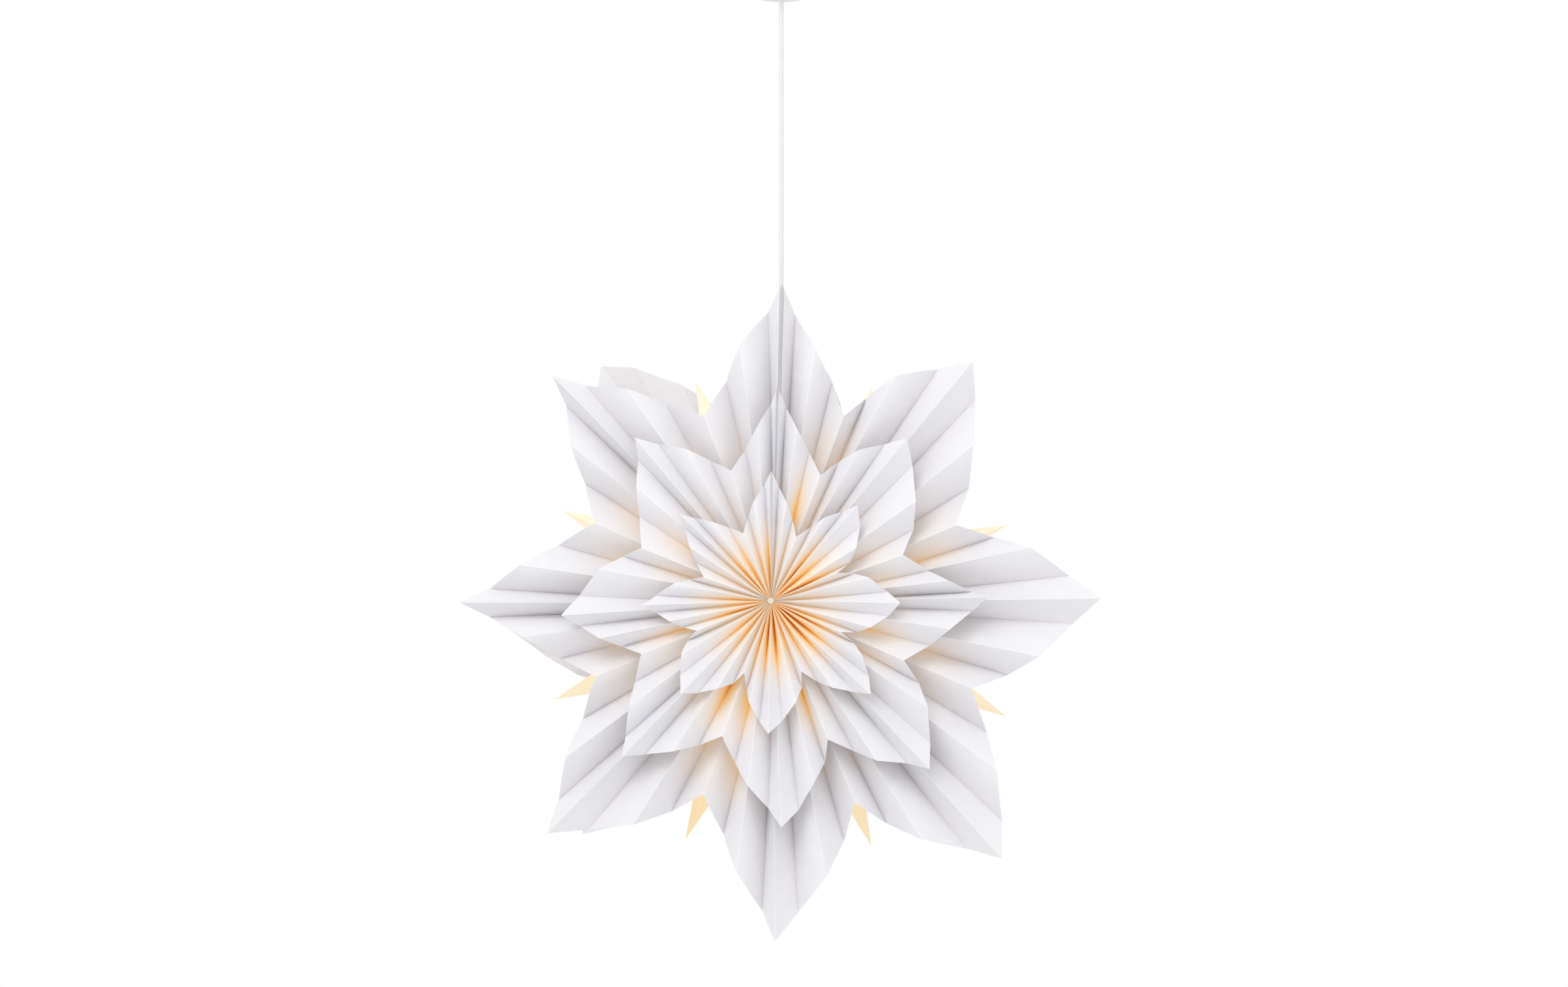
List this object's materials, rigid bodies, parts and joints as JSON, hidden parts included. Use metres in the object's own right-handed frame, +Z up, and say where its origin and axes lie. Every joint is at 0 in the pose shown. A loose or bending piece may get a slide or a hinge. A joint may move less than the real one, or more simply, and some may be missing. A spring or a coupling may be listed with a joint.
{
  "type": "folded paper star pendant lamp",
  "caption": "Hanging lamp of layered, pleated paper stars front and back, with side spikes round a lit drum.",
  "frame": {"origin": "centre of the ceiling plate's upper face, where the lamp is held", "axes": "+Z up, -Y towards the front of the star, +X to the right seen from the front"},
  "size_m": [0.7, 0.286, 1.11],
  "materials": {
    "white_paper": "matt folded paper",
    "cream_paper": "thin cream paper",
    "card": "plain white card",
    "cotton_thread": "twisted cotton",
    "brass": "plain brass",
    "zinc_steel": "zinc plated",
    "white_plastic": "moulded",
    "white_enamel": "powder coat",
    "porcelain": "glazed",
    "brown_core": "insulated wire",
    "blue_core": "insulated wire",
    "frosted_glass": "inside frosted",
    "clear_glass": "clear",
    "filament": "coiled wire",
    "nickel_cap": "nickel plated",
    "black_insulator": "fused black",
    "block_plastic": "moulded",
    "white_cord": "smooth sheath"
  },
  "bodies": {
    "ceiling": {"power_cord": "white_cord", "ceiling_plate": "zinc_steel", "clamp_bracket": "zinc_steel", "bracket_screws": "zinc_steel", "cord_clamp": "white_plastic", "clamp_screw": "zinc_steel", "terminal_block": "block_plastic", "terminal_screws": "brass", "ceiling_live_core": "brown_core", "ceiling_neutral_core": "blue_core"},
    "cup": {"ceiling_cup": "white_enamel", "cup_bush": "white_plastic", "cup_grub_screw": "zinc_steel"},
    "holder": {"wire_spreader": "zinc_steel", "hanger_clips": "zinc_steel", "holder_body": "white_plastic", "holder_cap": "white_plastic", "cord_gland": "white_plastic", "gland_screw": "zinc_steel", "contact_base": "porcelain", "base_screws": "brass", "socket_shell": "brass", "socket_contact": "brass", "holder_live_core": "brown_core", "holder_neutral_core": "blue_core"},
    "ring": {"shade_ring": "white_plastic"},
    "bulb": {"bulb_glass": "frosted_glass", "bulb_cap": "nickel_cap", "bulb_insulator": "black_insulator", "bulb_contact": "nickel_cap", "bulb_stem": "clear_glass", "bulb_filament": "filament"},
    "star": {"front_large_star": "white_paper", "front_medium_star": "white_paper", "front_small_star": "white_paper", "rear_large_star": "white_paper", "rear_medium_star": "white_paper", "rear_small_star": "white_paper", "front_large_thread": "cotton_thread", "front_medium_thread": "cotton_thread", "front_small_thread": "cotton_thread", "rear_large_thread": "cotton_thread", "rear_medium_thread": "cotton_thread", "rear_small_thread": "cotton_thread", "front_centre_button": "cream_paper", "rear_centre_button": "cream_paper", "front_frame": "card", "rear_frame": "card", "front_eyelet": "brass", "rear_eyelet": "brass", "drum_band": "card", "side_spike_1": "cream_paper", "side_spike_2": "cream_paper", "side_spike_3": "cream_paper", "side_spike_4": "cream_paper", "side_spike_5": "cream_paper", "side_spike_6": "cream_paper", "side_spike_7": "cream_paper", "side_spike_8": "cream_paper"}
  },
  "joints": [
    {"name": "cup_slide", "type": "slide", "parent": "ceiling", "child": "cup", "axis": [0, 0, -1], "range_m": [0, 0.12]},
    {"name": "star_turn", "type": "hinge", "parent": "ceiling", "child": "holder", "pos_m": [0, 0, -0.657], "axis": [0, 0, 1], "range_deg": [-180, 180]},
    {"name": "star_level", "type": "hinge", "parent": "holder", "child": "star", "pos_m": [0, 0, -0.69], "axis": [0, 1, 0], "range_deg": [-4, 4]},
    {"name": "ring_unscrew", "type": "slide", "parent": "holder", "child": "ring", "axis": [0, 0, -1], "range_m": [0, 0.014]},
    {"name": "bulb_unscrew", "type": "slide", "parent": "holder", "child": "bulb", "axis": [0, 0, -1], "range_m": [0, 0.027]}
  ]
}
